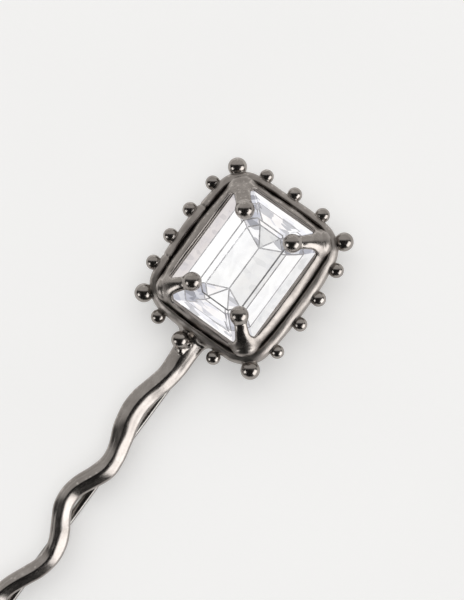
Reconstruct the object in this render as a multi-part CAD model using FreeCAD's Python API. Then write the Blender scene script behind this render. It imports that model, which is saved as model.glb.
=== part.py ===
"""Decorative hair pin: a step-cut crystal in a beaded claw setting, on a wavy cast leg with a spring wire behind it.

The pin lies on its back, crystal up. +X runs along the pin from the leg tips to the head, +Y is across it and
+Z is up. The origin is the bottom centre of the whole pin. Sizes are in millimetres. Places on the head are
measured from the crystal's centre, and places on the legs by their distance behind it.
"""
import FreeCAD
import Part

import math
import os

# ---------------------------------------------------------------- whole pin
PIN_LENGTH = 74.0
HEAD_REACH = 11.55                # crystal centre to the outside of the beads at the far end
HEAD_X = PIN_LENGTH / 2 - HEAD_REACH

# ---------------------------------------------------------------- crystal, a 16 x 12 step cut
GIRDLE = (8.00, 6.00)             # half length and half width
CORNER_CUT = 1.7                  # how far each corner is cut back along both sides at the girdle
GIRDLE_Z = 4.40                   # underside of the girdle
GIRDLE_THICK = 0.25
CROWN_STEP = (6.62, 3.95, 0.90)   # half length, half width and height above the girdle
TABLE = (5.42, 2.98, 1.30)
PAVILION_STEPS = (                # half length, half width and depth below the girdle
    (5.30, 2.60, 2.70),
    (6.80, 4.55, 1.45),
)
KEEL_HALF = 3.0
PAVILION_DEPTH = 3.45
STONE_PLAY = 0.02                 # gap between the crystal and its seat

# ---------------------------------------------------------------- setting
# An outline is its half length, half width, corner radius and the radius that its four sides bow out to.
PLATE = (9.70, 8.40, 3.7, 60.0)
GALLERY_OUTER = (10.00, 8.75, 3.9, 60.0)
RIM_OUTER = (10.20, 8.95, 4.1, 60.0)
RIM_INNER = (9.24, 7.74, 3.4, 70.0)
RAIL_OUTER = (9.10, 7.60, 3.3, 70.0)
RAIL_INNER = (8.26, 6.32, 2.2, 300.0)
SEAT_INNER = (7.20, 5.20, 1.5, 300.0)
SEAT_LIP = 0.12                   # how far the seat's lip covers the girdle
PLATE_THICK = 0.8
GALLERY_TOP = 2.9
RIM_TOP = 4.45
RIM_ROUNDING = 0.45
SEAT_TOP = 4.85
RAIL_TOP = 5.35
RAIL_ROUNDING = 0.30

# ---------------------------------------------------------------- claws
CLAW_ROOT = (7.75, 5.95, 4.65)    # centre of the claw's root, in the rail's corner
CLAW_BALL = (5.20, 3.40, 6.90)    # centre of its ball
CLAW_BALL_R = 1.13
CLAW_SECTIONS = (                 # share of the way to the ball, lift above the straight line, radius
    (0.00, 0.00, 1.00),
    (0.28, 0.50, 0.90),
    (0.58, 0.50, 0.72),
    (0.88, 0.12, 0.60),
)

# ---------------------------------------------------------------- beads round the setting
BEAD_Z = 3.3
BEAD_BOW = 60.0                   # the side beads follow the rim's bowed sides
CORNER_BEAD_R = 1.15
CORNER_BEAD_AT = (9.42, 7.85)
LONG_SIDE_Y = 9.42                # the beads' row at the middle of each side
FAR_END_X = 10.65
NEAR_END_X = 10.90
LEFT_BEADS = ((-5.8, 0.92), (-2.0, 0.92), (1.9, 0.92), (6.1, 0.90))        # place along the side, radius
FAR_END_BEADS = ((4.3, 0.86), (0.25, HEAD_REACH - FAR_END_X), (-3.9, 0.90))
RIGHT_BEADS = ((6.1, 0.92), (2.1, 0.92), (-1.6, 0.88), (-5.8, 0.84))
NEAR_END_BEADS = ((4.75, 0.88), (-3.45, 0.88))
LEG_BEAD_R = 1.05                 # the bead on top of the leg's root
LEG_BEAD_AT = (-11.45, 0.90, 4.0)
LEG_BEAD_NECK_R = 0.55
LEG_BEAD_NECK_LENGTH = 1.6

# ---------------------------------------------------------------- wavy front leg
LEG_START = 9.0                   # inside the head
LEG_TIP_R = 1.0
LEG_END = PIN_LENGTH - HEAD_REACH - LEG_TIP_R
LEG_WAVE = (                      # distance behind the crystal, sideways place: a half cosine joins each pair
    (LEG_START, -0.05), (14.6, -0.36), (20.9, 0.64), (27.95, -0.94), (33.8, 0.76), (40.75, -1.84),
    (48.2, 0.45), (54.8, -0.90), (LEG_END, -0.20),
)
LEG_SECTION = (                   # distance behind the crystal, width, thickness, height of the centre
    (LEG_START, 3.60, 2.20, 2.35), (12.6, 3.30, 2.40, 2.45), (17.0, 2.74, 2.40, 2.50), (21.0, 3.05, 2.50, 2.55),
    (28.0, 2.60, 2.40, 2.55), (34.0, 2.42, 2.30, 2.50), (41.0, 2.26, 2.24, 2.45), (50.0, 2.20, 2.16, 2.38),
    (LEG_END, 2 * LEG_TIP_R, 2 * LEG_TIP_R, 2.30),
)
LEG_STEP = 1.4                    # longest distance between two sections of the leg
LEG_SLOPE_STEP = 0.05             # distance over which the leg's direction is measured

# ---------------------------------------------------------------- spring wire behind the leg
WIRE_WIDTH = 1.0
WIRE_THICK = 0.7
WIRE_Y = -0.74
ARM_Z = 0.45                      # height of the long arm's centre line
ANCHOR_Z = 1.85                   # height of the short arm's centre line, let into the leg
FOLD_BACK = 13.0                  # crystal centre to the centre of the fold
ANCHOR_BACK = 17.2                # end of the short arm
NEAREST_BACK = 57.0               # where the long arm comes nearest to the leg
NEAREST_Z = 0.62
ARM_END_BACK = 61.5
FOLD_ROOM = 0.10                  # room round the fold in the leg's slot

UP = FreeCAD.Vector(0, 0, 1)
ACROSS = FreeCAD.Vector(0, 1, 0)
CORNERS = {"near_left": (-1, 1), "far_left": (1, 1), "far_right": (1, -1), "near_right": (-1, -1)}


def head(x, y, z):
    """A point given from the crystal's centre line, in the pin's frame."""
    return FreeCAD.Vector(HEAD_X + x, y, z)


def largest_solid(shape):
    return max(shape.Solids, key=lambda solid: solid.Volume)


def cut_by(shape, neighbours):
    """What is left of a solid where its neighbours don't already fill the space."""
    for neighbour in neighbours:
        shape = shape.cut(neighbour)
    return largest_solid(shape)


def ball(radius, centre, facing):
    """A sphere whose seam is on the side it faces, in degrees from +X, and whose poles are beside that."""
    angle = math.radians(facing)
    outward = FreeCAD.Vector(math.cos(angle), math.sin(angle), 0)
    sphere = Part.makeSphere(radius)
    sphere.Placement = FreeCAD.Placement(centre, FreeCAD.Rotation(outward, UP * -1, UP.cross(outward), "XYZ"))
    return sphere


# ---------------------------------------------------------------- rounded rectangles with bowed sides
def corner_points(outline):
    """For the corner at +X and +Y: the arc's ends on the short and the long side, and its middle."""
    half_x, half_y, radius, bow = outline
    long_x, long_y = 0.0, half_y - bow
    short_x, short_y = half_x - bow, 0.0
    apart = math.hypot(long_x - short_x, long_y - short_y)
    reach = bow - radius
    half_chord = math.sqrt(reach ** 2 - (apart / 2) ** 2)
    centre_x = (long_x + short_x) / 2 + half_chord * (short_y - long_y) / apart
    centre_y = (long_y + short_y) / 2 + half_chord * (long_x - short_x) / apart
    to_short = ((centre_x - short_x) / reach, (centre_y - short_y) / reach)
    to_long = ((centre_x - long_x) / reach, (centre_y - long_y) / reach)
    middle = (to_short[0] + to_long[0], to_short[1] + to_long[1])
    length = math.hypot(*middle)
    directions = (to_short, to_long, (middle[0] / length, middle[1] / length))
    return [(centre_x + radius * x, centre_y + radius * y) for x, y in directions]


def outline_wire(outline, z):
    half_x, half_y = outline[:2]
    short_end, long_end, middle = corner_points(outline)

    def at(point, side):
        return head(point[0] * side[0], point[1] * side[1], z)

    def arc(first, through, last):
        return Part.Arc(first, through, last).toShape()

    far_left, far_right = (1, 1), (1, -1)
    near_left, near_right = (-1, 1), (-1, -1)
    return Part.Wire([
        arc(at(short_end, far_right), head(half_x, 0, z), at(short_end, far_left)),
        arc(at(short_end, far_left), at(middle, far_left), at(long_end, far_left)),
        arc(at(long_end, far_left), head(0, half_y, z), at(long_end, near_left)),
        arc(at(long_end, near_left), at(middle, near_left), at(short_end, near_left)),
        arc(at(short_end, near_left), head(-half_x, 0, z), at(short_end, near_right)),
        arc(at(short_end, near_right), at(middle, near_right), at(long_end, near_right)),
        arc(at(long_end, near_right), head(0, -half_y, z), at(long_end, far_right)),
        arc(at(long_end, far_right), at(middle, far_right), at(short_end, far_right)),
    ])


def block(outline, bottom, top):
    return Part.Face(outline_wire(outline, bottom)).extrude(UP * (top - bottom))


def ring(outer, inner, bottom, top):
    return block(outer, bottom, top).cut(block(inner, bottom, top))


def edges_at(shape, z):
    """The edges that lie wholly at one height."""
    return [e for e in shape.Edges if abs(e.BoundBox.ZMin - z) < 1e-6 and abs(e.BoundBox.ZMax - z) < 1e-6]


# ---------------------------------------------------------------- crystal
def polygon_face(points):
    return Part.Face(Part.makePolygon(points + points[:1]))


def octagon(half_x, half_y, cut, z):
    """A rectangle with cut corners, as eight points."""
    points = []
    for side_x, side_y in CORNERS.values():
        beside_x = head(side_x * (half_x - cut), side_y * half_y, z)
        beside_y = head(side_x * half_x, side_y * (half_y - cut), z)
        points += [beside_y, beside_x] if side_x != side_y else [beside_x, beside_y]
    return points


def facet_band(low, high):
    """The eight facets between two octagons."""
    count = len(low)
    return [polygon_face([low[i], low[(i + 1) % count], high[(i + 1) % count], high[i]]) for i in range(count)]


def crystal_solid(grow=0.0):
    """The step-cut crystal. A positive grow makes the pocket that it sits in."""
    def level(half_x, half_y, z):
        return octagon(half_x + grow, half_y + grow, CORNER_CUT * half_x / GIRDLE[0], z)

    girdle_top = GIRDLE_Z + GIRDLE_THICK
    rings = [level(half_x, half_y, GIRDLE_Z - depth) for half_x, half_y, depth in PAVILION_STEPS]
    rings += [level(*GIRDLE, GIRDLE_Z), level(*GIRDLE, girdle_top)]
    rings += [level(half_x, half_y, girdle_top + rise) for half_x, half_y, rise in (CROWN_STEP, TABLE)]
    faces = [polygon_face(rings[-1])]
    for low, high in zip(rings, rings[1:]):
        faces += facet_band(low, high)

    keel_z = GIRDLE_Z - PAVILION_DEPTH - grow
    near_end, far_end = head(-KEEL_HALF - grow, 0, keel_z), head(KEEL_HALF + grow, 0, keel_z)
    lowest = rings[0]
    for first, second in zip(lowest, lowest[1:] + lowest[:1]):
        first_end = far_end if first.x > HEAD_X else near_end
        second_end = far_end if second.x > HEAD_X else near_end
        is_long_side = first_end is not second_end
        faces.append(polygon_face([first, second, second_end] + ([first_end] if is_long_side else [])))
    return Part.makeSolid(Part.makeShell(faces))


# ---------------------------------------------------------------- setting
def seat_solid():
    """The inner wall. The crystal's lower facets rest on its ledge, and a thin lip stands round the girdle."""
    wall = ring(RAIL_INNER, SEAT_INNER, PLATE_THICK, SEAT_TOP)
    lip = octagon(GIRDLE[0] - SEAT_LIP, GIRDLE[1] - SEAT_LIP, CORNER_CUT, GIRDLE_Z)
    opening = polygon_face(lip).extrude(UP * (SEAT_TOP - GIRDLE_Z))
    return largest_solid(wall.cut(crystal_solid(STONE_PLAY)).cut(opening))


def rail_solid():
    """The inner frame that carries the claws, rounded along its top."""
    wall = ring(RAIL_OUTER, RAIL_INNER, GALLERY_TOP, RAIL_TOP)
    return wall.makeFillet(RAIL_ROUNDING, edges_at(wall, RAIL_TOP))


def rim_solid():
    """The outer frame, rounded along its top and along its outer lower edge."""
    outer = block(RIM_OUTER, GALLERY_TOP, RIM_TOP)
    outer = outer.makeFillet(RIM_ROUNDING, edges_at(outer, GALLERY_TOP))
    wall = outer.cut(block(RIM_INNER, GALLERY_TOP, RIM_TOP))
    return wall.makeFillet(RIM_ROUNDING, edges_at(wall, RIM_TOP))


def claw_solid(side_x, side_y, neighbours):
    """One claw: a tapering arm from the rail's corner, over the crystal's corner, to a ball on the crown."""
    root = head(side_x * CLAW_ROOT[0], side_y * CLAW_ROOT[1], CLAW_ROOT[2])
    tip = head(side_x * CLAW_BALL[0], side_y * CLAW_BALL[1], CLAW_BALL[2])
    facing = math.degrees(math.atan2(-side_y, -side_x))
    points = [root + (tip - root) * share + UP * lift for share, lift, _ in CLAW_SECTIONS]
    radii = [radius for _, _, radius in CLAW_SECTIONS]
    before = [root] + points[:-1]
    after = points[1:] + [tip]
    wires = [
        Part.Wire(Part.makeCircle(radius, point, end - start))
        for radius, point, start, end in zip(radii, points, before, after)
    ]
    arm = Part.makeLoft(wires, True, False)
    return cut_by(arm.fuse(ball(CLAW_BALL_R, tip, facing)), neighbours)


# ---------------------------------------------------------------- beads
def bead_places():
    """Radius, centre and facing of every bead, in order round the setting from the leg."""
    def on_long_side(side, along, radius):
        return (radius, along, side * (LONG_SIDE_Y - along ** 2 / (2 * BEAD_BOW)), side * 90)

    def on_end(side, reach, along, radius):
        return (radius, side * (reach - along ** 2 / (2 * BEAD_BOW)), along, 90 - side * 90)

    def on_corner(side_x, side_y):
        x, y = side_x * CORNER_BEAD_AT[0], side_y * CORNER_BEAD_AT[1]
        return (CORNER_BEAD_R, x, y, math.degrees(math.atan2(y, x)))

    near_left, near_right = NEAR_END_BEADS
    places = [on_end(-1, NEAR_END_X, *near_left), on_corner(-1, 1)]
    places += [on_long_side(1, *bead) for bead in LEFT_BEADS]
    places.append(on_corner(1, 1))
    places += [on_end(1, FAR_END_X, *bead) for bead in FAR_END_BEADS]
    places.append(on_corner(1, -1))
    places += [on_long_side(-1, *bead) for bead in RIGHT_BEADS]
    places += [on_corner(-1, -1), on_end(-1, NEAR_END_X, *near_right)]
    return [(radius, head(x, y, BEAD_Z), facing) for radius, x, y, facing in places]


def leg_bead_solid(neighbours):
    """The bead above the leg's root, with a neck that joins it to the rim."""
    centre = head(*LEG_BEAD_AT)
    neck = Part.makeCylinder(LEG_BEAD_NECK_R, LEG_BEAD_NECK_LENGTH, centre, FreeCAD.Vector(1, 0, 0))
    return cut_by(ball(LEG_BEAD_R, centre, 180).fuse(neck), neighbours)


# ---------------------------------------------------------------- wavy leg
def eased(stations, back, column):
    """One column of a table of stations, at a distance behind the crystal. Half cosines join the stations."""
    for low, high in zip(stations, stations[1:]):
        if back <= high[0]:
            share = (back - low[0]) / (high[0] - low[0])
            return low[column] + (high[column] - low[column]) * (1 - math.cos(math.pi * share)) / 2
    return stations[-1][column]


def leg_centre(back):
    return head(-back, eased(LEG_WAVE, back, 1), eased(LEG_SECTION, back, 3))


def leg_section(back):
    """The leg's oval outline, upright and square to its path."""
    forward = leg_centre(back) - leg_centre(back + LEG_SLOPE_STEP)
    forward.z = 0
    sideways = UP.cross(forward).normalize()
    oval = Part.Ellipse(FreeCAD.Vector(), eased(LEG_SECTION, back, 1) / 2, eased(LEG_SECTION, back, 2) / 2).toShape()
    turn = FreeCAD.Rotation(sideways, UP, forward, "XYZ")
    oval.Placement = FreeCAD.Placement(leg_centre(back), turn)
    return Part.Wire(oval)


def leg_solid(neighbours):
    """The wavy leg: a loft of oval sections, with a round tip."""
    count = math.ceil((LEG_END - LEG_START) / LEG_STEP)
    backs = [LEG_START + (LEG_END - LEG_START) * i / count for i in range(count + 1)]
    leg = Part.makeLoft([leg_section(back) for back in backs], True, False)
    tip = Part.makeSphere(LEG_TIP_R, leg_centre(LEG_END), FreeCAD.Vector(-1, 0, 0), 0, 90)
    return cut_by(leg.fuse(tip), neighbours)


# ---------------------------------------------------------------- spring wire
def wire_section(centre, along):
    """The wire's flattened section, with round sides, square to a direction that has no sideways part."""
    radius = WIRE_THICK / 2
    side = ACROSS * (WIRE_WIDTH / 2)
    flat = ACROSS * (WIRE_WIDTH / 2 - radius)
    over = ACROSS.cross(along).normalize() * radius
    return Part.Face(Part.Wire([
        Part.makeLine(centre - flat + over, centre + flat + over),
        Part.Arc(centre + flat + over, centre + side, centre + flat - over).toShape(),
        Part.makeLine(centre + flat - over, centre - flat - over),
        Part.Arc(centre - flat - over, centre - side, centre - flat + over).toShape(),
    ]))


def straight_wire(start, end):
    return wire_section(start, end - start).extrude(end - start)


def wire_knuckle(centre):
    """What rounds a bend or an end of the wire: the flattened section, turned about its own width."""
    radius = WIRE_THICK / 2
    flat = ACROSS * (WIRE_WIDTH / 2 - radius)
    barrel = Part.makeCylinder(radius, 2 * flat.Length, centre - flat, ACROSS)
    return barrel.fuse(Part.makeSphere(radius, centre - flat)).fuse(Part.makeSphere(radius, centre + flat))


def anchor_solid():
    """The wire's short arm, let into the underside of the leg."""
    return straight_wire(head(-FOLD_BACK, WIRE_Y, ANCHOR_Z), head(-ANCHOR_BACK, WIRE_Y, ANCHOR_Z))


def anchor_slot():
    """The space in the leg for the short arm and the fold, open below."""
    fold_reach = (ANCHOR_Z - ARM_Z + WIRE_THICK) / 2 + FOLD_ROOM
    low = head(-ANCHOR_BACK, WIRE_Y - WIRE_WIDTH / 2, 0)
    return Part.makeBox(ANCHOR_BACK - FOLD_BACK + fold_reach, WIRE_WIDTH, ANCHOR_Z + WIRE_THICK / 2, low)


def fold_solid():
    """The half turn that joins the wire's two arms."""
    centre = head(-FOLD_BACK, WIRE_Y, (ANCHOR_Z + ARM_Z) / 2)
    section = wire_section(head(-FOLD_BACK, WIRE_Y, ANCHOR_Z), FreeCAD.Vector(1, 0, 0))
    return section.revolve(centre, ACROSS, 180)


def spring_arm_solid():
    """The long arm: it rises a little towards the leg, and its rounded end turns away again."""
    start = head(-FOLD_BACK, WIRE_Y, ARM_Z)
    nearest = head(-NEAREST_BACK, WIRE_Y, NEAREST_Z)
    end = head(-ARM_END_BACK, WIRE_Y, ARM_Z)
    arm = straight_wire(start, nearest).fuse(straight_wire(nearest, end))
    arm = arm.fuse(wire_knuckle(nearest)).fuse(wire_knuckle(end))
    past_fold = Part.makeBox(WIRE_THICK, WIRE_WIDTH, WIRE_THICK, start - FreeCAD.Vector(0, WIRE_WIDTH, WIRE_THICK) / 2)
    return cut_by(arm, [past_fold])


def build():
    """Every piece of the pin by name."""
    crystal = crystal_solid()
    plate = block(PLATE, 0, PLATE_THICK)
    gallery = ring(GALLERY_OUTER, RAIL_INNER, PLATE_THICK, GALLERY_TOP)
    seat, rail, rim = seat_solid(), rail_solid(), rim_solid()
    leg = leg_solid([rim, gallery, plate, rail, anchor_slot()])
    parts = {
        "crystal": crystal,
        "back_plate": plate,
        "gallery": gallery,
        "stone_seat": seat,
        "claw_rail": rail,
        "outer_rim": rim,
        "wavy_leg": leg,
        "spring_anchor": anchor_solid(),
        "spring_fold": fold_solid(),
        "spring_arm": spring_arm_solid(),
        "leg_bead": leg_bead_solid([rim, gallery, leg]),
    }
    for name, (side_x, side_y) in CORNERS.items():
        parts["claw_" + name] = claw_solid(side_x, side_y, [rail, seat, crystal])
    for number, place in enumerate(bead_places(), 1):
        parts[f"bead_{number:02d}"] = cut_by(ball(*place), [rim, gallery, leg])
    return parts


os.makedirs("parts", exist_ok=True)
for name, shape in build().items():
    solid = largest_solid(shape)
    print(f"{name}: {solid.Volume:.2f} mm3, valid {solid.isValid()}, closed {solid.isClosed()}")
    solid.exportStep(f"parts/{name}.step")
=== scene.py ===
"""Looks of the decorative hair pin: hand-finished cast metal round a step-cut crystal, on a pale floor.

Lengths are in millimetres, and places on the pin are measured from the crystal's centre line: +X towards the
far end of the head, +Y across, +Z up. Meshes are turned into metres in the pin's own frame.
"""
import math

import bmesh
import bpy
import numpy as np
from mathutils import Matrix, Vector


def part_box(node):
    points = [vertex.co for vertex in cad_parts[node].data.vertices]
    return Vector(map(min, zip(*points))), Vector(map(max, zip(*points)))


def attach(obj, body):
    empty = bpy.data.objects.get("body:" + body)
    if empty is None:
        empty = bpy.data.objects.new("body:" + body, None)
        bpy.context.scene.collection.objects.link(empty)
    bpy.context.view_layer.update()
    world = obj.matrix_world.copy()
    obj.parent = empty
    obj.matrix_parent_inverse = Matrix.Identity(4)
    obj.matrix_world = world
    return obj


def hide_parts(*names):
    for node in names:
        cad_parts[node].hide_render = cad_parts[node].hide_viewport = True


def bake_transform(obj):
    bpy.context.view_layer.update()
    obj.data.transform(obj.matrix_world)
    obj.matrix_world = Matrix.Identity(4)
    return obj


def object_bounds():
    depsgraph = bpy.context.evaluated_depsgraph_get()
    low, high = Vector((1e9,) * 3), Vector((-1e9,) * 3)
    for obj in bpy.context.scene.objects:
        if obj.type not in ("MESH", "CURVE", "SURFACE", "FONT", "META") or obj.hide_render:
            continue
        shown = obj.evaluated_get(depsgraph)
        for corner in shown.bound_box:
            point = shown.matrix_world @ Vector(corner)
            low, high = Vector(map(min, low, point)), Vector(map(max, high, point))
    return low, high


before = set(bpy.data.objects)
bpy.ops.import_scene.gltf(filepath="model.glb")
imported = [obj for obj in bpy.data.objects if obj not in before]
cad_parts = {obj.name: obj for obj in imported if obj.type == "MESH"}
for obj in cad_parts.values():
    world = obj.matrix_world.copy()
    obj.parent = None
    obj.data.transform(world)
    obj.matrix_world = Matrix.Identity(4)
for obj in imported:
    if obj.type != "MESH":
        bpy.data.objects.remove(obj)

cad_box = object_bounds()

MM = 0.001
PER_MM = 1000.0
HEAD_X = sum(corner.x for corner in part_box("crystal")) / 2      # metres

# ---------------------------------------------------------------- sizes that the pin's pieces share
GIRDLE = (8.00, 6.00)             # half length and half width of the crystal
CORNER_CUT = 1.7
GIRDLE_Z = 4.40
GIRDLE_THICK = 0.25
# Each step is its half length, half width, and height above or depth below the girdle.
CROWN_STEPS = ((6.62, 3.95, 0.90), (5.42, 2.98, 1.30))
PAVILION_STEPS = ((5.30, 2.60, 2.70), (6.80, 4.55, 1.45))
KEEL_HALF = 3.0
PAVILION_DEPTH = 3.45
LOWER_EDGE = 0.085                # widths of the flats along the crystal's edges
TABLE_EDGE = 0.08
CROWN_EDGE = 0.03

# An outline is its half length, half width, corner radius and the radius that its sides bow out to.
PLATE = (9.70, 8.40, 3.7, 60.0)
GALLERY_OUTER = (10.00, 8.75, 3.9, 60.0)
RIM_OUTER = (10.20, 8.95, 4.1, 60.0)
RIM_INNER = (9.24, 7.74, 3.4, 70.0)
RAIL_OUTER = (9.10, 7.60, 3.3, 70.0)
RAIL_INNER = (8.26, 6.32, 2.2, 300.0)
SEAT_INNER = (7.20, 5.20, 1.5, 300.0)
PLATE_TOP = 0.8
GALLERY_TOP = 2.9
RIM_TOP = 4.45
SEAT_LEDGE = 4.42
SEAT_TOP = 4.85
RAIL_TOP = 5.35
RIM_DROP = 0.50                   # how far the tops slope down from the inner to the outer edge
RAIL_DROP = 0.60
CREST = 0.08                      # how far the tops' crests stand above the stated heights
SOLDER_MARKS = (3.1, -4.3)        # places along the rim's +Y side
SOLDER_MARK_WIDTH = 0.15
SOLDER_MARK_DEPTH = 0.09
SOLDER_SIDE_Y = 7
LIP_OUT = 0.24                    # from the crystal's outline to the middle of the seat's lip
LIP_HALF_THICK = 0.10

CLAW_ROOT = (7.75, 5.95, 4.65)
CLAW_BALL = (5.20, 3.40, 6.90)
CLAW_BALL_R = 1.13
CLAW_HALF_WIDTHS = {"near_left": 0.72, "far_left": 0.90, "far_right": 0.64, "near_right": 0.62}
CLAW_FOOT_HALF_WIDTH = 1.25
CLAW_HALF_THICK = 0.42
CLAW_FOOT_EXTRA_THICK = 0.45
CLAW_ARCH = 2.3                   # four times the arch's rise over its chord
CORNERS = {"near_left": (-1, 1), "far_left": (1, 1), "far_right": (1, -1), "near_right": (-1, -1)}

LEG_BEAD_R = 1.05
LEG_BEAD_AT = (-11.45, 0.90, 4.0)
LEG_BEAD_SOLDER = (((-12.4, 0.15, 3.45), 0.42), ((-11.2, -0.35, 3.7), 0.34))     # drops: centre, radius
LEG_BEAD_BOX = 2.2                # half the box that the leg's bead and its fillet are meshed in
LEG_START = 9.0
LEG_END = 61.45
LEG_WAVE = (                      # distance behind the crystal, sideways place
    (LEG_START, -0.05), (14.6, -0.36), (20.9, 0.64), (27.95, -0.94), (33.8, 0.76), (40.75, -1.84),
    (48.2, 0.45), (54.8, -0.90), (LEG_END, -0.20),
)
LEG_RIDGE = 0.60                  # 0 for an oval, more for a ridge along the leg's top
LEG_SECTION = (                   # distance behind the crystal, width, thickness, height of the centre
    (LEG_START, 3.60, 2.20, 2.35), (12.6, 3.30, 2.40, 2.45), (17.0, 2.74, 2.40, 2.50),
    (21.0, 3.05, 2.50, 2.55), (28.0, 2.60, 2.40, 2.55), (34.0, 2.42, 2.30, 2.50),
    (41.0, 2.26, 2.24, 2.45), (50.0, 2.20, 2.16, 2.38), (LEG_END, 2.0, 2.0, 2.30),
)
LEG_REACH_Y = 4.0                 # the leg's fillet into the gallery ends here
WIRE_WIDTH = 1.0
WIRE_THICK = 0.7
WIRE_Y = -0.74
ARM_Z = 0.45
ANCHOR_Z = 1.85
FOLD_BACK = 13.0
ANCHOR_BACK = 17.2
NEAREST_BACK = 57.0
NEAREST_Z = 0.62
ARM_END_BACK = 61.5
FOLD_ROOM = 0.10


# ---------------------------------------------------------------- fields, negative inside a piece
def smooth_min(a, b, reach):
    """The smaller of two fields, with a fillet about as large as reach where they meet."""
    share = np.clip(0.5 + 0.5 * (b - a) / reach, 0, 1)
    return b + (a - b) * share - reach * share * (1 - share)


def smooth_max(a, b, reach):
    """The larger of two fields, with the edge where they meet rounded off."""
    return -smooth_min(-a, -b, reach)


def corner_arc(outline):
    """Centre of an outline's corner arc at +X and +Y, and the directions of its two ends from there."""
    half_x, half_y, radius, bow = outline
    long_y, short_x = half_y - bow, half_x - bow
    apart = math.hypot(long_y, short_x)
    reach = bow - radius
    half_chord = math.sqrt(reach ** 2 - (apart / 2) ** 2)
    x = short_x / 2 - half_chord * long_y / apart
    y = long_y / 2 - half_chord * short_x / apart
    return x, y, ((x - short_x) / reach, y / reach), (x / reach, (y - long_y) / reach)


def outline_field(x, y, outline):
    """Distance from a rounded rectangle with bowed sides."""
    half_x, half_y, radius, bow = outline
    x, y = np.abs(x), np.abs(y)
    centre_x, centre_y, to_short, to_long = corner_arc(outline)
    dx, dy = x - centre_x, y - centre_y
    in_corner = (to_short[0] * dy - to_short[1] * dx > 0) & (dx * to_long[1] - dy * to_long[0] > 0)
    long_side = np.hypot(x, y - (half_y - bow)) - bow
    short_side = np.hypot(x - (half_x - bow), y) - bow
    return np.where(in_corner, np.hypot(dx, dy) - radius, np.maximum(long_side, short_side))


def octagon_field(x, y, half_x, half_y):
    """Distance from the crystal's outline at one height."""
    x, y = np.abs(x), np.abs(y)
    cut = CORNER_CUT * half_x / GIRDLE[0]
    return np.maximum(np.maximum(x - half_x, y - half_y), (x + y - half_x - half_y + cut) * math.sqrt(0.5))


RNG = np.random.default_rng(26)


def wave_set(count, wavelength, height):
    """Seeded sine waves in random directions, which together give a hand-worked unevenness."""
    directions = RNG.normal(size=(count, 3))
    directions /= np.linalg.norm(directions, axis=1)[:, None]
    lengths = wavelength * RNG.uniform(0.7, 1.4, count)
    phases = RNG.uniform(0, 2 * math.pi, count)
    return directions * (2 * math.pi / lengths)[:, None], phases, height / math.sqrt(count)


SWELLS = wave_set(5, 5.5, 0.055)
DENTS = wave_set(6, 1.9, 0.016)


def unevenness(x, y, z):
    """The same hand-worked unevenness for every piece, so that neighbours still meet."""
    total = 0
    for waves, phases, height in (SWELLS, DENTS):
        for wave, phase in zip(waves, phases):
            total = total + height * np.sin(wave[0] * x + wave[1] * y + wave[2] * z + phase)
    return total


def rounded_bar(across, z, bottom, top, top_reach, bottom_reach):
    """A wall's field from its field seen from above."""
    return smooth_max(smooth_max(across, z - top, top_reach), bottom - z, bottom_reach)


def sloped_bar(x, y, z, outer, inner, top, drop, outer_reach):
    """A frame whose top slopes down outwards from a crest along its inner edge, with rounded edges."""
    to_outer, to_inner = outline_field(x, y, outer), outline_field(x, y, inner)
    slope = drop / (outer[1] - inner[1])
    roof = (z - top + slope * to_inner) / math.hypot(1, slope)
    wall = smooth_max(smooth_max(roof, to_outer, outer_reach), -to_inner, 0.30)
    return smooth_max(wall, GALLERY_TOP - 0.05 - z, 0.2)


def rim_field(x, y, z):
    wall = sloped_bar(x, y, z, RIM_OUTER, RIM_INNER, RIM_TOP + CREST, RIM_DROP, 0.75)
    for mark_x in SOLDER_MARKS:
        mark = SOLDER_MARK_DEPTH * np.exp(-((x - mark_x) / SOLDER_MARK_WIDTH) ** 2)
        wall = wall + mark * (y > SOLDER_SIDE_Y)
    return wall + unevenness(x, y, z)


def rail_field(x, y, z):
    wall = sloped_bar(x, y, z, RAIL_OUTER, RAIL_INNER, RAIL_TOP + CREST, RAIL_DROP, 1.1)
    return wall + unevenness(x, y, z)


def rim_piece_field(x, y, z):
    """The rim, with the solder that fills the foot of the groove between it and the rail."""
    joined = smooth_min(rim_field(x, y, z), rail_field(x, y, z) + HIDDEN, 0.20)
    return np.maximum(joined, GALLERY_TOP - 0.05 - z)


def gallery_field(x, y, z):
    across = smooth_max(outline_field(x, y, GALLERY_OUTER), -outline_field(x, y, RAIL_INNER), 0.1)
    waist = 0.22 * np.sin(np.clip((z - PLATE_TOP) / (GALLERY_TOP - PLATE_TOP), 0, 1) * math.pi)
    across = smooth_max(across, outline_field(x, y, GALLERY_OUTER) + waist, 0.05)
    wall = rounded_bar(across, z, PLATE_TOP - 0.04, GALLERY_TOP + 0.04, 0.15, 0.15)
    return wall + 0.6 * unevenness(x, y, z)


def plate_field(x, y, z):
    worked = rounded_bar(outline_field(x, y, PLATE), z, 0.0, PLATE_TOP, 0.35, 0.45) + 0.4 * unevenness(x, y, z)
    return np.maximum(worked, -z)


def crystal_field(x, y, z):
    """The crystal is convex, so it is the largest of its facets' distances."""
    total = -1e3
    for normal, offset in CRYSTAL_FACETS:
        total = np.maximum(total, normal[0] * x + normal[1] * y + normal[2] * z - offset)
    return total


def seat_field(x, y, z):
    across = smooth_max(outline_field(x, y, RAIL_INNER) - 0.03, -outline_field(x, y, SEAT_INNER), 0.1)
    ledge = rounded_bar(across, z, PLATE_TOP, SEAT_LEDGE, 0.12, 0.1)
    lip_across = np.abs(octagon_field(x, y, *GIRDLE) - LIP_OUT) - LIP_HALF_THICK
    lip = rounded_bar(lip_across, z, SEAT_LEDGE - 0.4, SEAT_TOP, 0.14, 0.05)
    both = smooth_min(ledge, lip, 0.15) + 0.35 * unevenness(x, y, z)
    return smooth_max(both, 0.02 - crystal_field(x, y, z), 0.03)


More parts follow.
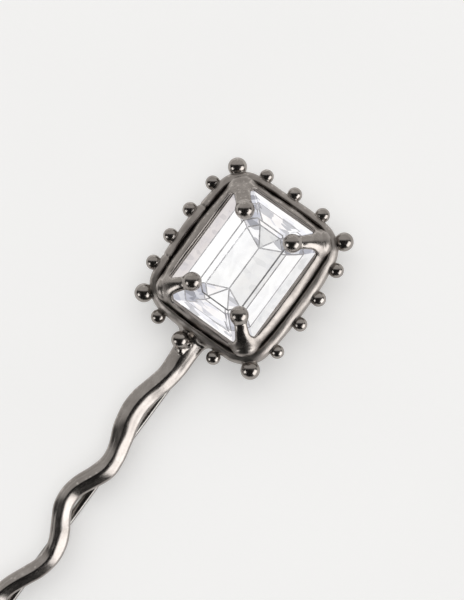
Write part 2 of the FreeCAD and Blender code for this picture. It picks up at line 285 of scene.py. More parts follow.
def tapered_rod(x, y, z, start, end, start_r, end_r):
    """A round rod between two points, with round ends."""
    along = [e - s for s, e in zip(start, end)]
    length_squared = sum(a * a for a in along)
    dx, dy, dz = x - start[0], y - start[1], z - start[2]
    share = np.clip((dx * along[0] + dy * along[1] + dz * along[2]) / length_squared, 0, 1)
    dx, dy, dz = dx - share * along[0], dy - share * along[1], dz - share * along[2]
    gap = np.sqrt(dx ** 2 + dy ** 2 + dz ** 2)
    return gap - (start_r + (end_r - start_r) * share)


def ball_field(x, y, z, centre, radius):
    return np.sqrt((x - centre[0]) ** 2 + (y - centre[1]) ** 2 + (z - centre[2]) ** 2) - radius


COARSER = 1.0
HIDDEN = 0.02                     # how far a fillet's foot lies under its neighbour's surface


def claw_maker(side_x, side_y, width):
    """A flattened arm from the rail's corner up over the crystal, with a ball on its end.

    Gives its field, and the low and high corners of the room it takes.
    """
    root = (side_x * CLAW_ROOT[0], side_y * CLAW_ROOT[1], CLAW_ROOT[2])
    tip = (side_x * CLAW_BALL[0], side_y * CLAW_BALL[1], CLAW_BALL[2])
    run = math.hypot(tip[0] - root[0], tip[1] - root[1])
    along_x, along_y = (tip[0] - root[0]) / run, (tip[1] - root[1]) / run

    def field(x, y, z):
        along = ((x - root[0]) * along_x + (y - root[1]) * along_y) / run
        side = (y - root[1]) * along_x - (x - root[0]) * along_y
        share = np.clip(along, -0.04, 1)
        arch = root[2] + (tip[2] - root[2]) * share + CLAW_ARCH * np.maximum(share, 0) * (1 - share)
        flare = (1 - np.clip(share, 0, 1)) ** 2
        half_width = width + (CLAW_FOOT_HALF_WIDTH - width) * flare
        half_thick = CLAW_HALF_THICK + CLAW_FOOT_EXTRA_THICK * flare
        beyond = (along - share) * run / half_thick
        oval = np.sqrt((side / half_width) ** 2 + ((z - arch) / half_thick) ** 2 + beyond ** 2)
        arm = (oval - 1) * half_thick * 0.75
        arm = arm + 0.5 * unevenness(x, y, z)
        arm = smooth_min(arm, ball_field(x, y, z, tip, CLAW_BALL_R), 0.22)
        joined = smooth_min(arm, rail_field(x, y, z) + HIDDEN, 0.75)
        region = tapered_rod(x, y, z, root, tip, 2.7, 2.0)
        return smooth_max(np.maximum(joined, region), 0.015 - crystal_field(x, y, z), 0.05)

    low = [min(r, t) - 2.9 for r, t in zip(root, tip)]
    high = [max(r, t) + 2.9 for r, t in zip(root, tip)]
    return field, low, high


def walls_field(x, y, z):
    """What the beads and the leg are soldered to."""
    return np.minimum(rim_field(x, y, z), gallery_field(x, y, z))


def bead_maker(centre, radius, fillet):
    """A ball soldered to the walls. Gives its field, and the low and high corners of the room it takes."""
    def field(x, y, z):
        ball = ball_field(x, y, z, centre, radius) + 0.25 * unevenness(x, y, z)
        joined = smooth_min(ball, walls_field(x, y, z) + HIDDEN, fillet)
        return np.maximum(joined, ball_field(x, y, z, centre, radius + 0.95))

    reach = radius + 1.1
    return field, [c - reach for c in centre], [c + reach for c in centre]


def eased(stations, back, column):
    """One column of a table of stations at a distance behind the crystal. Half cosines join the stations."""
    table = np.array(stations)
    index = np.clip(np.searchsorted(table[:, 0], back) - 1, 0, len(table) - 2)
    share = np.clip((back - table[index, 0]) / (table[index + 1, 0] - table[index, 0]), 0, 1)
    values = table[:, column]
    return values[index] + (values[index + 1] - values[index]) * (1 - np.cos(math.pi * share)) / 2


def leg_axis_field(x, y, z):
    """The leg's oval bar with its round tip."""
    back = np.clip(-x, LEG_START, LEG_END)
    step = 0.05
    slope = (eased(LEG_WAVE, back + step, 1) - eased(LEG_WAVE, back - step, 1)) / (2 * step)
    half_width = eased(LEG_SECTION, back, 1) / 2
    half_thick = eased(LEG_SECTION, back, 2) / 2
    across = (y - eased(LEG_WAVE, back, 1)) / np.sqrt(1 + slope ** 2) / half_width
    above = (z - eased(LEG_SECTION, back, 3)) / half_thick
    beyond = np.maximum(0, -x - LEG_END) / half_thick
    share = np.clip((above - 0.1) / 0.6, 0, 1)
    power = 2 - LEG_RIDGE * share ** 2 * (3 - 2 * share)
    oval = (np.abs(across) ** power + np.abs(above) ** power) ** (1 / power)
    return (np.hypot(oval, beyond) - 1) * half_thick


def leg_field(x, y, z):
    """The leg with its fillet into the gallery and the slot for the wire."""
    bar = leg_axis_field(x, y, z) + 1.1 * unevenness(x, y, z)
    joined = smooth_min(bar, walls_field(x, y, z) + HIDDEN, 0.9)
    region = np.maximum(x + LEG_START, np.abs(y) - LEG_REACH_Y)
    joined = np.maximum(joined, region)
    fold_reach = (ANCHOR_Z - ARM_Z + WIRE_THICK) / 2 + FOLD_ROOM
    middle = -(ANCHOR_BACK + FOLD_BACK - fold_reach) / 2
    half = (ANCHOR_BACK - FOLD_BACK + fold_reach) / 2
    slot = np.maximum(np.maximum(np.abs(x - middle) - half, np.abs(y - WIRE_Y) - WIRE_WIDTH / 2),
                      z - ANCHOR_Z - WIRE_THICK / 2)
    return smooth_max(joined, -slot, 0.12)


def leg_bead_field(x, y, z):
    """The ball on the leg's root, with two drops of solder beside it."""
    ball = ball_field(x, y, z, LEG_BEAD_AT, LEG_BEAD_R) + 0.3 * unevenness(x, y, z)
    leg = leg_axis_field(x, y, z) + 1.1 * unevenness(x, y, z)
    neighbours = np.minimum(walls_field(x, y, z), leg) + HIDDEN
    joined = smooth_min(ball, neighbours, 0.7)
    for centre, radius in LEG_BEAD_SOLDER:
        joined = smooth_min(joined, ball_field(x, y, z, centre, radius), 0.25)
    return np.maximum(joined, ball_field(x, y, z, LEG_BEAD_AT, LEG_BEAD_R + 1.0))


# ---------------------------------------------------------------- meshes from fields
def slope_of(field, points):
    """The field's gradient at each point."""
    step = 0.004
    columns = []
    for axis in range(3):
        offset = np.zeros(3)
        offset[axis] = step
        ahead, behind = points + offset, points - offset
        columns.append((field(*ahead.T) - field(*behind.T)) / (2 * step))
    return np.stack(columns, axis=1)


def net_of(field, low, high, cell):
    """Points and quads of the closed surface where a field is zero.

    Surface nets give one point in each cell that the surface crosses, and then the points move onto the
    surface.
    """
    cell *= COARSER
    axes = [np.arange(lo, hi + cell, cell) for lo, hi in zip(low, high)]
    x, y, z = axes[0][:, None, None], axes[1][None, :, None], axes[2][None, None, :]
    values = np.broadcast_to(field(x, y, z), tuple(len(a) for a in axes)).astype(float)
    inside = values < 0
    cells = [len(a) - 1 for a in axes]

    def corner(array, i, j, k):
        return array[i:i + cells[0], j:j + cells[1], k:k + cells[2]]

    count = sum(corner(inside, i, j, k).astype(np.int8) for i in (0, 1) for j in (0, 1) for k in (0, 1))
    active = (count > 0) & (count < 8)
    where = np.argwhere(active)
    total = np.zeros((len(where), 3))
    crossings = np.zeros(len(where))
    for axis in range(3):
        others = [a for a in range(3) if a != axis]
        for first in (0, 1):
            for second in (0, 1):
                start = np.zeros(3, int)
                start[others[0]], start[others[1]] = first, second
                end = start.copy()
                end[axis] = 1
                a = values[tuple((where + start).T)]
                b = values[tuple((where + end).T)]
                hit = (a < 0) != (b < 0)
                share = np.where(hit, a / np.where(hit, a - b, 1), 0)
                total[hit] += (where[hit] + start) + share[hit, None] * (end - start)
                crossings[hit] += 1
    points = total / crossings[:, None] * cell + np.array([a[0] for a in axes])

    number = -np.ones(active.shape, int)
    number[tuple(where.T)] = np.arange(len(where))
    quads = []
    for axis in range(3):
        first, second = [(axis + 1) % 3, (axis + 2) % 3]
        lower = np.moveaxis(inside, (axis, first, second), (0, 1, 2))
        numbers = np.moveaxis(number, (axis, first, second), (0, 1, 2))
        flips = lower[:-1, 1:-1, 1:-1] != lower[1:, 1:-1, 1:-1]
        i, j, k = np.nonzero(flips)
        ring = ((j, k), (j + 1, k), (j + 1, k + 1), (j, k + 1))
        quad = np.stack([numbers[i, at_j, at_k] for at_j, at_k in ring], 1)
        outward = lower[:-1, 1:-1, 1:-1][i, j, k]
        quads.append(np.where(outward[:, None], quad, quad[:, ::-1]))
    for _ in range(3):
        slope = slope_of(field, points)
        steepness = np.maximum((slope ** 2).sum(1), 0.05)
        points = points - np.clip(field(*points.T) / steepness, -cell / 2, cell / 2)[:, None] * slope
    return points, np.concatenate(quads)


def into_frame(points):
    """Head-centred millimetres into the pin's frame in metres."""
    return np.asarray(points) * MM + np.array([HEAD_X, 0, 0])


def new_object(name, points, faces, smooth=True):
    """An object in the pin's frame, from head-centred millimetres."""
    mesh = bpy.data.meshes.new(name)
    mesh.from_pydata(into_frame(points).tolist(), [], [tuple(map(int, face)) for face in faces])
    mesh.validate()
    mesh.update()
    mesh.polygons.foreach_set("use_smooth", [smooth] * len(mesh.polygons))
    made = bpy.data.objects.new(name, mesh)
    bpy.context.scene.collection.objects.link(made)
    return made


def cast_piece(name, field, low, high, cell, material, slot_name, nodes):
    """A closed metal piece on the fixed body, which stands for some CAD nodes."""
    points, quads = net_of(field, low, high, cell)
    made = new_object(name, points, quads)
    normals = slope_of(field, points)
    normals /= np.maximum(np.linalg.norm(normals, axis=1), 1e-9)[:, None]
    made.data.normals_split_custom_set_from_vertices(normals.tolist())
    made.data.materials.append(material)
    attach(made, "root")
    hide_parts(*nodes)
    return made


# ---------------------------------------------------------------- material nodes
class Recipe:
    """A material's nodes, made by short calls."""

    def __init__(self, name):
        self.material = bpy.data.materials.new(name)
        self.material.use_nodes = True
        self.tree = self.material.node_tree
        self.tree.nodes.clear()
        self.shader = self.tree.nodes.new("ShaderNodeBsdfPrincipled")
        output = self.tree.nodes.new("ShaderNodeOutputMaterial")
        self.link(self.shader.outputs[0], output.inputs["Surface"])
        self.place = self.tree.nodes.new("ShaderNodeTexCoord").outputs["Object"]

    def link(self, source, target):
        self.tree.links.new(source, target)

    def set(self, **values):
        """Plain values on the shader's own sockets, whose names have _ for a space."""
        for socket, value in values.items():
            self.shader.inputs[socket.replace("_", " ")].default_value = value

    def scaled(self, scale, turn=(0, 0, 0)):
        """The place on the pin, in cells of 1 / scale millimetres along each axis."""
        node = self.tree.nodes.new("ShaderNodeMapping")
        node.inputs["Scale"].default_value = tuple(s * PER_MM for s in scale)
        node.inputs["Rotation"].default_value = turn
        self.link(self.place, node.inputs["Vector"])
        return node.outputs[0]

    def noise(self, scale, detail=3.0, roughness=0.5, distortion=0.0, turn=(0, 0, 0)):
        """Noise with a grain of 1 / scale millimetres along each axis."""
        node = self.tree.nodes.new("ShaderNodeTexNoise")
        node.inputs["Scale"].default_value = 1.0
        node.inputs["Detail"].default_value = detail
        node.inputs["Roughness"].default_value = roughness
        node.inputs["Distortion"].default_value = distortion
        self.link(self.scaled(scale, turn), node.inputs["Vector"])
        return node.outputs["Fac"]

    def cells(self, scale):
        """A random colour in each of many angular cells, about 1 / scale millimetres long along each axis."""
        node = self.tree.nodes.new("ShaderNodeTexVoronoi")
        node.inputs["Scale"].default_value = 1.0
        self.link(self.scaled(scale), node.inputs["Vector"])
        return node.outputs["Color"]

    def ramp(self, source, stops):
        """A number or a colour from a number, by stops of (place, grey or colour)."""
        node = self.tree.nodes.new("ShaderNodeValToRGB")
        ramp = node.color_ramp
        while len(ramp.elements) < len(stops):
            ramp.elements.new(0.5)
        for element, (at, value) in zip(ramp.elements, stops):
            element.position = at
            colour = (value,) * 3 if isinstance(value, (int, float)) else value
            element.color = (*colour, 1)
        self.link(source, node.inputs["Fac"])
        return node.outputs["Color"]

    def mixed(self, kind, factor, first, second):
        """Two colours mixed. The factor and the colours are values or other nodes' outputs."""
        node = self.tree.nodes.new("ShaderNodeMix")
        node.data_type = "RGBA"
        node.blend_type = kind
        factor_socket, first_socket, second_socket = node.inputs["Factor"], node.inputs[6], node.inputs[7]
        for socket, value in ((factor_socket, factor), (first_socket, first), (second_socket, second)):
            if isinstance(value, bpy.types.NodeSocket):
                self.link(value, socket)
            elif socket.type == "RGBA":
                socket.default_value = (*value, 1)
            else:
                socket.default_value = value
        return node.outputs[2]

    def bump(self, height, distance, strength):
        node = self.tree.nodes.new("ShaderNodeBump")
        node.inputs["Strength"].default_value = strength
        node.inputs["Distance"].default_value = distance * MM
        self.link(height, node.inputs["Height"])
        return node.outputs[0]


WORN_FROM_Z = 4.9                 # the claws' tops are rubbed smoother than the rest of the setting
WORN_TO_Z = 6.3
WORN_ROUGHNESS = 0.62             # roughness at and above that height, against the rest


def plated_metal(name, dark, light, roughness, grain, bump_height):
    """Nickel plating: cloudy tone, painted shade darkening the hollows, polish on the high spots, fine
    polishing lines.
    """
    recipe = Recipe(name)
    cloud = recipe.ramp(recipe.noise((0.55, 0.55, 0.55), 4, 0.55, 0.4), ((0.30, dark), (0.70, light)))
    pointed = recipe.tree.nodes.new("ShaderNodeNewGeometry").outputs["Pointiness"]
    # painted shade: the base colour darkens where the surface is hollow, standing in for ambient occlusion
    painted_hollow_shade = recipe.ramp(pointed, ((0.43, 0.15), (0.495, 1.0)))
    colour = recipe.mixed("MULTIPLY", 1.0, cloud, painted_hollow_shade)
    polish = recipe.ramp(pointed, ((0.52, 0.0), (0.60, 1.0)))
    colour = recipe.mixed("MIX", polish, colour, tuple(min(1, c * 1.25) for c in light))
    recipe.link(colour, recipe.shader.inputs["Base Color"])
    low, high = roughness
    patch = recipe.noise((1.6, 1.6, 1.6), 5, 0.6, 0.6)
    height = recipe.tree.nodes.new("ShaderNodeSeparateXYZ")
    recipe.link(recipe.place, height.inputs[0])
    worn = recipe.tree.nodes.new("ShaderNodeMapRange")
    worn_range = (("From Min", WORN_FROM_Z * MM), ("From Max", WORN_TO_Z * MM),
                  ("To Min", 1.0), ("To Max", WORN_ROUGHNESS))
    for socket, value in worn_range:
        worn.inputs[socket].default_value = value
    recipe.link(height.outputs["Z"], worn.inputs["Value"])
    rough = recipe.tree.nodes.new("ShaderNodeMath")
    rough.operation = "MULTIPLY"
    recipe.link(recipe.ramp(patch, ((0.30, low), (0.75, high))), rough.inputs[0])
    recipe.link(worn.outputs[0], rough.inputs[1])
    recipe.link(rough.outputs[0], recipe.shader.inputs["Roughness"])
    lines = recipe.noise(grain, 3, 0.55, 0.2, (0, 0, math.radians(12)))
    recipe.link(recipe.bump(lines, bump_height, 0.55), recipe.shader.inputs["Normal"])
    recipe.set(Metallic=1.0)
    return recipe.material


DARK_PLATING = plated_metal("dark_plating", (0.28, 0.254, 0.235), (0.41, 0.376, 0.350), (0.31, 0.43),
                            (2.2, 14, 14), 0.006)
BALL_POLISH = plated_metal("ball_polish", (0.30, 0.273, 0.252), (0.41, 0.378, 0.352), (0.17, 0.26),
                           (6, 6, 6), 0.003)
LEG_PLATING = plated_metal("leg_plating", (0.29, 0.264, 0.245), (0.40, 0.370, 0.347), (0.20, 0.28),
                           (1.2, 16, 16), 0.006)
SPRING_STEEL = plated_metal("spring_steel", (0.24, 0.225, 0.21), (0.34, 0.325, 0.31), (0.20, 0.30),
                            (0.8, 22, 22), 0.004)


def crystal_glass():
    """Clear cut glass, with a trace of haze and of polishing."""
    recipe = Recipe("crystal_glass")
    haze = recipe.noise((0.35, 0.35, 0.35), 3, 0.5)
    tint = recipe.ramp(haze, ((0.35, (0.97, 0.98, 1.0)), (0.65, (1.0, 0.995, 0.985))))
    recipe.link(tint, recipe.shader.inputs["Base Color"])
    recipe.link(recipe.ramp(recipe.noise((3, 3, 3), 2), ((0.3, 0.0), (0.8, 0.012))),
                recipe.shader.inputs["Roughness"])
    recipe.set(Transmission_Weight=1.0, IOR=1.54)
    return recipe.material


def painted_glow_foil(name, glow, glint):
    """The coating behind the crystal's lower facets, made bright by painted light: it glows though it is no
    lamp.

    Its glow is painted light that stands for the light a real coating would gather from all round. Glint is
    how strongly that painted glow is broken up into painted angular reflections of the other facets.
    """
    recipe = Recipe(name)
    patches = recipe.noise((0.5, 0.8, 0.6), 3, 0.5, 0.8)
    shade = tuple(0.93 * channel for channel in glow)
    shine = tuple(min(1, 1.03 * channel) for channel in glow)
    colour = recipe.ramp(patches, ((0.28, shade), (0.50, glow), (0.80, shine)))
    grey, bluish, rosy = (0.36, 0.36, 0.39), (0.80, 0.80, 0.86), (1.0, 0.96, 0.94)
    # painted reflections: angular cells of grey, bluish, white and rosy tone stand for reflections of the
    # other facets
    painted_reflections = recipe.ramp(recipe.cells((1.5, 0.55, 1.2)),
                              ((0.25, grey), (0.38, bluish), (0.50, 1.0), (0.75, rosy)))
    colour = recipe.mixed("MULTIPLY", glint, colour, painted_reflections)
    # painted light: the coating's colour drives its emission, so it glows though it is no lamp
    recipe.link(colour, recipe.shader.inputs["Emission Color"])
    silver = recipe.ramp(patches, ((0.30, (0.09, 0.09, 0.10)), (0.70, (0.11, 0.11, 0.105))))
    recipe.link(silver, recipe.shader.inputs["Base Color"])
    recipe.link(recipe.ramp(patches, ((0.3, 0.06), (0.7, 0.14))), recipe.shader.inputs["Roughness"])
    recipe.set(Metallic=1.0, Emission_Strength=1.0)
    return recipe.material


def crystal_edge():
    """The narrow edges between facets, painted grey with a faint glow of painted light, as they look grey
    through the crystal.
    """
    recipe = Recipe("crystal_edge")
    patches = recipe.noise((1.5, 1.5, 1.5), 2)
    tone = recipe.ramp(patches, ((0.3, (0.22, 0.215, 0.22)), (0.7, (0.44, 0.435, 0.44))))
    recipe.link(tone, recipe.shader.inputs["Base Color"])
    recipe.link(tone, recipe.shader.inputs["Emission Color"])
    # painted light: the edges glow faintly with their own grey tone
    recipe.set(Metallic=1.0, Roughness=0.25, Emission_Strength=0.45)
    return recipe.material


# ---------------------------------------------------------------- crystal
def octagon(half_x, half_y, z):
    """The eight corners of the crystal's outline at one height, in order round it."""
    cut = CORNER_CUT * half_x / GIRDLE[0]
    points = []
    for side_x, side_y in CORNERS.values():
        beside_x = (side_x * (half_x - cut), side_y * half_y, z)
        beside_y = (side_x * half_x, side_y * (half_y - cut), z)
        points += [beside_y, beside_x] if side_x != side_y else [beside_x, beside_y]
    return points


def crystal_shape():
    """Points and facets of the crystal, and which facets are coated at the back."""
    top = GIRDLE_Z + GIRDLE_THICK
    levels = [octagon(half_x, half_y, GIRDLE_Z - depth) for half_x, half_y, depth in PAVILION_STEPS]
    levels += [octagon(*GIRDLE, GIRDLE_Z), octagon(*GIRDLE, top)]
    levels += [octagon(half_x, half_y, top + rise) for half_x, half_y, rise in CROWN_STEPS]
    points = [point for level in levels for point in level]
    faces, coated = [], []
    for level in range(len(levels) - 1):
        for i in range(8):
            after = (i + 1) % 8
            faces.append((level * 8 + i, level * 8 + after, (level + 1) * 8 + after, (level + 1) * 8 + i))
            coated.append(level < 2)
    faces.append(tuple((len(levels) - 1) * 8 + i for i in range(8)))
    coated.append(False)
    keel = len(points)
    points += [(-KEEL_HALF, 0, GIRDLE_Z - PAVILION_DEPTH), (KEEL_HALF, 0, GIRDLE_Z - PAVILION_DEPTH)]
    for i in range(8):
        after = (i + 1) % 8
        first_end = keel + (points[i][0] > 0)
        second_end = keel + (points[after][0] > 0)
        faces.append((i, after, second_end) + ((first_end,) if first_end != second_end else ()))
        coated.append(True)
    return points, faces, coated


def facet_planes(points, faces):
    """Each facet's outward normal and its distance from the origin."""
    planes = []
    middle = np.mean(points, axis=0)
    for face in faces:
        a, b, c = (np.array(points[i]) for i in face[:3])
        normal = np.cross(b - a, c - a)
        normal /= np.linalg.norm(normal)
        if np.dot(normal, a - middle) < 0:
            normal = -normal
        planes.append((tuple(normal), float(np.dot(normal, a))))
    return planes


# Each foil glows with painted light; the one a facet gets makes that side of the crystal lighter or darker.
PAINTED_GLOW_FOILS = (                         # name, painted glow and painted glint
    ("foil_painted_glow_bright", (0.99, 0.985, 0.98), 0.06), ("foil_painted_glow_soft", (0.82, 0.815, 0.81), 0.15),
    ("foil_painted_glow_grey", (0.66, 0.67, 0.71), 0.90), ("foil_painted_glow_rosy", (0.70, 0.655, 0.645), 0.25),
    ("foil_painted_glow_end", (0.97, 0.965, 0.965), 0.75),
)
BRIGHT, SOFT, GREY, ROSY, END = range(5)
PAINTED_GLOW_PLAN = {                     # painted glow for facets that face +Y, -Y, +X, -X and the corners, brighter or darker by the way they face
    "outer": (ROSY, SOFT, END, END, GREY),
    "middle": (BRIGHT, BRIGHT, END, END, GREY),
    "keel": (BRIGHT, SOFT, SOFT, BRIGHT, END),
}


def painted_glow_of(polygon):
    """Which painted glow a lower facet's coating gets, from the way it faces and how far out it is."""
    centre, normal = polygon.center, polygon.normal
    x, y = centre.x - HEAD_X, centre.y
    if centre.z < (GIRDLE_Z - PAVILION_STEPS[0][2]) * MM:
        belt = "keel"
    elif centre.z < (GIRDLE_Z - PAVILION_STEPS[1][2]) * MM:
        belt = "middle"
    else:
        belt = "outer"
    steep = min(abs(normal.x), abs(normal.y)) / max(abs(normal.x), abs(normal.y), 1e-6)
    if steep > 0.35:
        side = 4
    elif abs(normal.y) > abs(normal.x):
        side = 0 if y > 0 else 1
    else:
        side = 2 if x > 0 else 3
    return PAINTED_GLOW_PLAN[belt][side]


def bevel(shape, edges, width, material):
    """Cuts edges off flat. Material is the cut's place among the materials, or -1 for the neighbours' own."""
    bmesh.ops.bevel(shape, geom=edges, offset=width * MM, segments=1, affect="EDGES", profile=0.5,
                    material=material, clamp_overlap=True)


def crystal_piece():
    points, faces, coated = CRYSTAL_SHAPE
    made = new_object("crystal_stone", points, faces, smooth=False)
    made.data.materials.append(crystal_glass())
    made.data.materials.append(crystal_edge())
    for foil in PAINTED_GLOW_FOILS:
        made.data.materials.append(painted_glow_foil(*foil))
    for polygon, is_coated in zip(made.data.polygons, coated):
        if is_coated:
            polygon.material_index = 2 + painted_glow_of(polygon)
    shape = bmesh.new()
    shape.from_mesh(made.data)
    bmesh.ops.recalc_face_normals(shape, faces=shape.faces)
    girdle_z = (GIRDLE_Z - 0.01) * MM
    table_z = (GIRDLE_Z + GIRDLE_THICK + CROWN_STEPS[1][2] - 0.01) * MM
    below = [e for e in shape.edges if all(v.co.z < girdle_z for v in e.verts)]
    bevel(shape, below, LOWER_EDGE, 1)
    table = [e for e in shape.edges if all(v.co.z > table_z for v in e.verts)]
    bevel(shape, table, TABLE_EDGE, 1)
    crown = [e for e in shape.edges if all(girdle_z < v.co.z < table_z - 0.1 * MM for v in e.verts)]
    bevel(shape, crown, CROWN_EDGE, -1)
    shape.to_mesh(made.data)
    shape.free()
    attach(made, "root")
    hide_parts("crystal")


# ---------------------------------------------------------------- spring wire
def wire_path():
    """Centre line of the wire in the upright plane it lies in, as distance back and height."""
    middle_z, radius = (ANCHOR_Z + ARM_Z) / 2, (ANCHOR_Z - ARM_Z) / 2
    line = [(back, ANCHOR_Z) for back in np.linspace(ANCHOR_BACK, FOLD_BACK, 15)[:-1]]
    for angle in np.linspace(0, math.pi, 25):
        line.append((FOLD_BACK - radius * math.sin(angle), middle_z + radius * math.cos(angle)))
    for back in np.linspace(FOLD_BACK, NEAREST_BACK, 90)[1:]:
        share = (back - FOLD_BACK) / (NEAREST_BACK - FOLD_BACK)
        line.append((back, ARM_Z + (NEAREST_Z - ARM_Z) * share))
    for back in np.linspace(NEAREST_BACK, ARM_END_BACK, 16)[1:]:
        share = (back - NEAREST_BACK) / (ARM_END_BACK - NEAREST_BACK)
        line.append((back, NEAREST_Z + (ARM_Z - NEAREST_Z) * (1 - math.cos(math.pi * share)) / 2))
    return np.array([(-back, WIRE_Y, z) for back, z in line])


def wire_piece():
    """The whole wire as one piece, from the short arm on the leg round the fold to the long arm."""
    path = wire_path()
    radius, flat = WIRE_THICK / 2, (WIRE_WIDTH - WIRE_THICK) / 2
    angles = np.linspace(0, 2 * math.pi, 25)[:-1]
    ring_out, ring_side = radius * np.sin(angles), radius * np.cos(angles)
    ring_side = ring_side + np.where(ring_side > 0, flat, -flat)
    tangents = np.gradient(path, axis=0)
    tangents /= np.linalg.norm(tangents, axis=1)[:, None]
    across = np.array([0.0, 1.0, 0.0])
    sections = [(path[i], tangents[i], 1.0) for i in range(len(path))]
    caps = [math.radians(a) for a in (20, 40, 60, 78)]
    first, last = sections[0], sections[-1]
    start = [(first[0] - first[1] * radius * math.sin(a), first[1], math.cos(a)) for a in reversed(caps)]
    end = [(last[0] + last[1] * radius * math.sin(a), last[1], math.cos(a)) for a in caps]
    points = []
    for centre, tangent, scale in start + sections + end:
        out = np.cross(across, tangent)
        side = np.sign(ring_side) * flat + (ring_side - np.sign(ring_side) * flat) * scale
        points += [centre + s * across + o * scale * out for s, o in zip(side, ring_out)]
    count, around = len(start + sections + end), len(angles)
    faces = []
    for i in range(count - 1):
        for j in range(around):
            k = (j + 1) % around
            faces.append((i * around + j, i * around + k, (i + 1) * around + k, (i + 1) * around + j))
    faces.append(tuple(range(around)))
    faces.append(tuple((count - 1) * around + j for j in reversed(range(around))))
    made = new_object("spring_wire", points, faces)
    shape = bmesh.new()
    shape.from_mesh(made.data)
    bmesh.ops.recalc_face_normals(shape, faces=shape.faces)
    shape.to_mesh(made.data)
    shape.free()
    made.data.materials.append(SPRING_STEEL)
    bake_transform(made)
    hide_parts("spring_anchor", "spring_fold", "spring_arm")


# ---------------------------------------------------------------- the whole pin
FINE_CELL = 0.075                 # the mesh's cell on the claws and beads
BEAD_FILLET = 0.16
CRYSTAL_SHAPE = crystal_shape()
CRYSTAL_FACETS = facet_planes(*CRYSTAL_SHAPE[:2])


def head_box(outline, bottom, top):
    """Low and high corners of the room round a part of the head."""
    room = 0.3
    low = [-outline[0] - room, -outline[1] - room, bottom - room]
    return low, [outline[0] + room, outline[1] + room, top + room]


def bead_place(node):
    """Centre and radius of a bead, from the sides of its box that its neighbours don't cut."""
    low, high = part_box(node)
    radius = (high.z - low.z) / 2
    middle_x, middle_y = (low.x + high.x) / 2 - HEAD_X, (low.y + high.y) / 2
    x = (high.x - radius if middle_x > 0 else low.x + radius) - HEAD_X
    y = high.y - radius if middle_y > 0 else low.y + radius
    return tuple(c * PER_MM for c in (x, y, (low.z + high.z) / 2)), radius * PER_MM


crystal_piece()
wire_piece()
for piece_name, piece_field, piece_room, piece_cell, piece_node in (
    ("setting_plate", plate_field, head_box(PLATE, 0, PLATE_TOP), 0.15, "back_plate"),
    ("setting_gallery", gallery_field, head_box(GALLERY_OUTER, PLATE_TOP, GALLERY_TOP), 0.12, "gallery"),
    ("setting_seat", seat_field, head_box(RAIL_INNER, PLATE_TOP, SEAT_TOP), 0.10, "stone_seat"),
    ("setting_rim", rim_piece_field, head_box(RIM_OUTER, GALLERY_TOP, RAIL_TOP), 0.09, "outer_rim"),
    ("setting_rail", rail_field, head_box(RAIL_OUTER, GALLERY_TOP, RAIL_TOP), 0.09, "claw_rail"),
):
    cast_piece(piece_name, piece_field, *piece_room, piece_cell, DARK_PLATING, "dark_plating", [piece_node])
for corner_name, sides in CORNERS.items():
    claw = claw_maker(*sides, CLAW_HALF_WIDTHS[corner_name])
    cast_piece("claw_arm_" + corner_name, *claw, FINE_CELL, DARK_PLATING, "dark_plating",
               ["claw_" + corner_name])
for bead_node in sorted(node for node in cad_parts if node.startswith("bead_")):
    bead_centre, bead_radius = bead_place(bead_node)
    cast_piece("ball_" + bead_node[-2:], *bead_maker(bead_centre, bead_radius, BEAD_FILLET), FINE_CELL,
               BALL_POLISH, "polished_beads", [bead_node])
bead_low, bead_high = ([c + side * LEG_BEAD_BOX for c in LEG_BEAD_AT] for side in (-1, 1))
cast_piece("leg_ball", leg_bead_field, bead_low, bead_high, FINE_CELL, BALL_POLISH, "polished_beads",
           ["leg_bead"])
leg_low = [-LEG_END - 1.3, -LEG_REACH_Y - 0.3, 0.6]
leg_high = [-LEG_START + 0.3, LEG_REACH_Y + 0.3, 4.9]
cast_piece("leg_bar", leg_field, leg_low, leg_high, 0.10, LEG_PLATING, "leg_plating", ["wavy_leg"])

# ---------------------------------------------------------------- camera
LOOK_AT = Vector((HEAD_X - 4.02 * MM, -1.27 * MM, 4.0 * MM))
AZIMUTH, ELEVATION, ROLL = (math.radians(angle) for angle in (-28.8, 81.3, -25.1))
DISTANCE = 159.6 * MM
VERTICAL_VIEW = math.radians(25)

flat = math.cos(ELEVATION)
VIEW_BACK = Vector((math.sin(AZIMUTH) * flat, -math.cos(AZIMUTH) * flat, math.sin(ELEVATION)))
level = Vector((math.cos(AZIMUTH), math.sin(AZIMUTH), 0))
upright = VIEW_BACK.cross(level)
VIEW_RIGHT = level * math.cos(ROLL) + upright * math.sin(ROLL)
VIEW_UP = upright * math.cos(ROLL) - level * math.sin(ROLL)

camera = bpy.data.objects.new("camera", bpy.data.cameras.new("camera"))
camera.data.sensor_width = 36
camera.data.lens = camera.data.sensor_width / 2 / math.tan(VERTICAL_VIEW / 2)
camera.data.clip_start = 0.002
camera.data.clip_end = 20
camera.matrix_world = (Matrix.Translation(LOOK_AT + VIEW_BACK * DISTANCE)
                       @ Matrix((VIEW_RIGHT, VIEW_UP, VIEW_BACK)).transposed().to_4x4())
bpy.context.scene.collection.objects.link(camera)
bpy.context.scene.camera = camera


# ---------------------------------------------------------------- light, floor and view
def softbox(name, direction, distance, width, height, radiance):
    """A studio light. Its direction from the pin is given to the right, up and towards the camera."""
    light = bpy.data.lights.new(name, "AREA")
    light.shape = "RECTANGLE"
    light.size, light.size_y = width, height
    light.energy = radiance * math.pi * width * height
    made = bpy.data.objects.new(name, light)
    towards = (VIEW_RIGHT * direction[0] + VIEW_UP * direction[1] + VIEW_BACK * direction[2]).normalized()
    made.matrix_world = (Matrix.Translation(LOOK_AT + towards * distance)
                         @ towards.to_track_quat("Z", "Y").to_matrix().to_4x4())
    made.visible_camera = False
    bpy.context.scene.collection.objects.link(made)
    return made


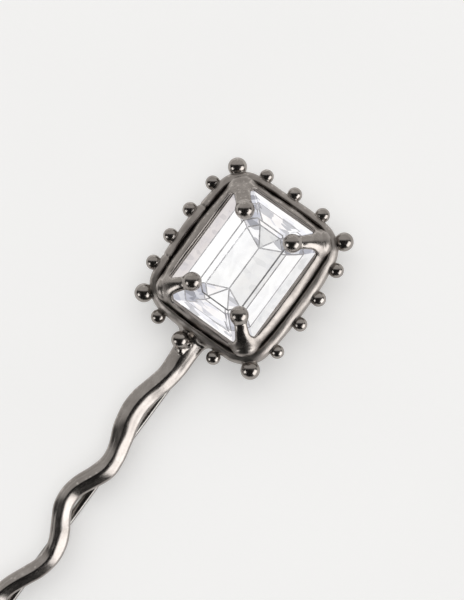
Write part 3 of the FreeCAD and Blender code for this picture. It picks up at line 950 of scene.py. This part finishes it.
softbox("softbox_left", (-0.87, -0.33, 0.37), 0.60, 0.24, 0.28, 2.6).visible_diffuse = False
softbox("softbox_right", (0.81, -0.38, 0.45), 0.60, 0.58, 0.42, 3.1).visible_diffuse = False
softbox("ceiling", (-0.22, 0.26, 0.94), 1.20, 3.00, 3.00, 0.51).visible_glossy = False
softbox("fill", (0.50, -0.45, 0.74), 1.20, 2.00, 2.00, 0.27).visible_glossy = False


def studio_walls():
    """A dark room with a pale wall towards the top of the picture. The camera itself sees a pale backdrop."""
    world = bpy.data.worlds.new("studio")
    bpy.context.scene.world = world
    world.use_nodes = True
    tree = world.node_tree
    tree.nodes.clear()
    output = tree.nodes.new("ShaderNodeOutputWorld")
    direction = tree.nodes.new("ShaderNodeTexCoord").outputs["Generated"]
    height = tree.nodes.new("ShaderNodeVectorMath")
    height.operation = "DOT_PRODUCT"
    height.inputs[1].default_value = VIEW_UP
    tree.links.new(direction, height.inputs[0])
    wall = tree.nodes.new("ShaderNodeMapRange")
    wall.interpolation_type = "SMOOTHSTEP"
    for socket, value in (("From Min", 0.24), ("From Max", 0.44), ("To Min", 0.02), ("To Max", 0.68)):
        wall.inputs[socket].default_value = value
    tree.links.new(height.outputs["Value"], wall.inputs["Value"])
    seen = tree.nodes.new("ShaderNodeLightPath").outputs["Is Camera Ray"]
    room = tree.nodes.new("ShaderNodeBackground")
    room.inputs["Color"].default_value = (1.0, 0.99, 0.975, 1)
    tree.links.new(wall.outputs[0], room.inputs["Strength"])
    backdrop = tree.nodes.new("ShaderNodeBackground")
    backdrop.inputs["Color"].default_value = (0.80, 0.797, 0.79, 1)
    chosen = tree.nodes.new("ShaderNodeMixShader")
    tree.links.new(seen, chosen.inputs[0])
    tree.links.new(room.outputs[0], chosen.inputs[1])
    tree.links.new(backdrop.outputs[0], chosen.inputs[2])
    tree.links.new(chosen.outputs[0], output.inputs[0])


def pale_floor():
    """White paper, with a weak glow that stands for the light scattered back from the room."""
    half = 3.0
    mesh = bpy.data.meshes.new("floor")
    corners = [(-half, -half, 0), (half, -half, 0), (half, half, 0), (-half, half, 0)]
    mesh.from_pydata(corners, [], [(0, 1, 2, 3)])
    floor = bpy.data.objects.new("floor", mesh)
    bpy.context.scene.collection.objects.link(floor)
    recipe = Recipe("floor_paper")
    patches = recipe.noise((0.02, 0.02, 0.02), 2)
    tone = recipe.ramp(patches, ((0.3, (0.80, 0.797, 0.79)), (0.7, (0.82, 0.817, 0.81))))
    recipe.link(tone, recipe.shader.inputs["Base Color"])
    recipe.link(tone, recipe.shader.inputs["Emission Color"])
    recipe.set(Roughness=0.8, Specular_IOR_Level=0.1, Emission_Strength=0.43)
    floor.data.materials.append(recipe.material)
    floor.location.z = min(cad_box[0].z, 0.0) - 0.02 * MM


studio_walls()
pale_floor()
bpy.context.scene.view_settings.view_transform = "Standard"
bpy.context.scene.view_settings.look = "None"
